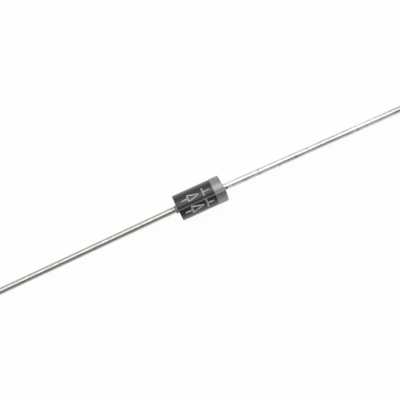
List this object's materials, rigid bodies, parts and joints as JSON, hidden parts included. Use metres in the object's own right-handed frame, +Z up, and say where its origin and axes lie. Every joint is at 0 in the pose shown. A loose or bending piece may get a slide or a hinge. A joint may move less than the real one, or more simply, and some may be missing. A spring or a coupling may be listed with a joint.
{
  "type": "axial rectifier diode",
  "caption": "Moulded epoxy rectifier diode with axial wire leads and a printed cathode band; passes current one way, from the plain end to the banded end.",
  "frame": {"origin": "middle of the body on its axis, half-way between the lead tips", "axes": "+X along the leads from the anode (plain end) to the cathode (banded end), +Z up; the diode lies on its side"},
  "size_m": [0.0606, 0.0036, 0.0036],
  "materials": {
    "epoxy": "satin black moulding compound",
    "band_ink": "silver-grey printed ink",
    "tinned_copper": "bright tin over copper wire",
    "silicon": "lapped silicon",
    "solder": "dull soft solder",
    "coating": "white silicone resin"
  },
  "bodies": {
    "root": {"body": "epoxy", "cathode_band": "band_ink", "anode_lead": "tinned_copper", "cathode_lead": "tinned_copper", "silicon_die": "silicon", "anode_solder": "solder", "cathode_solder": "solder", "junction_coating": "coating"}
  },
  "joints": []
}
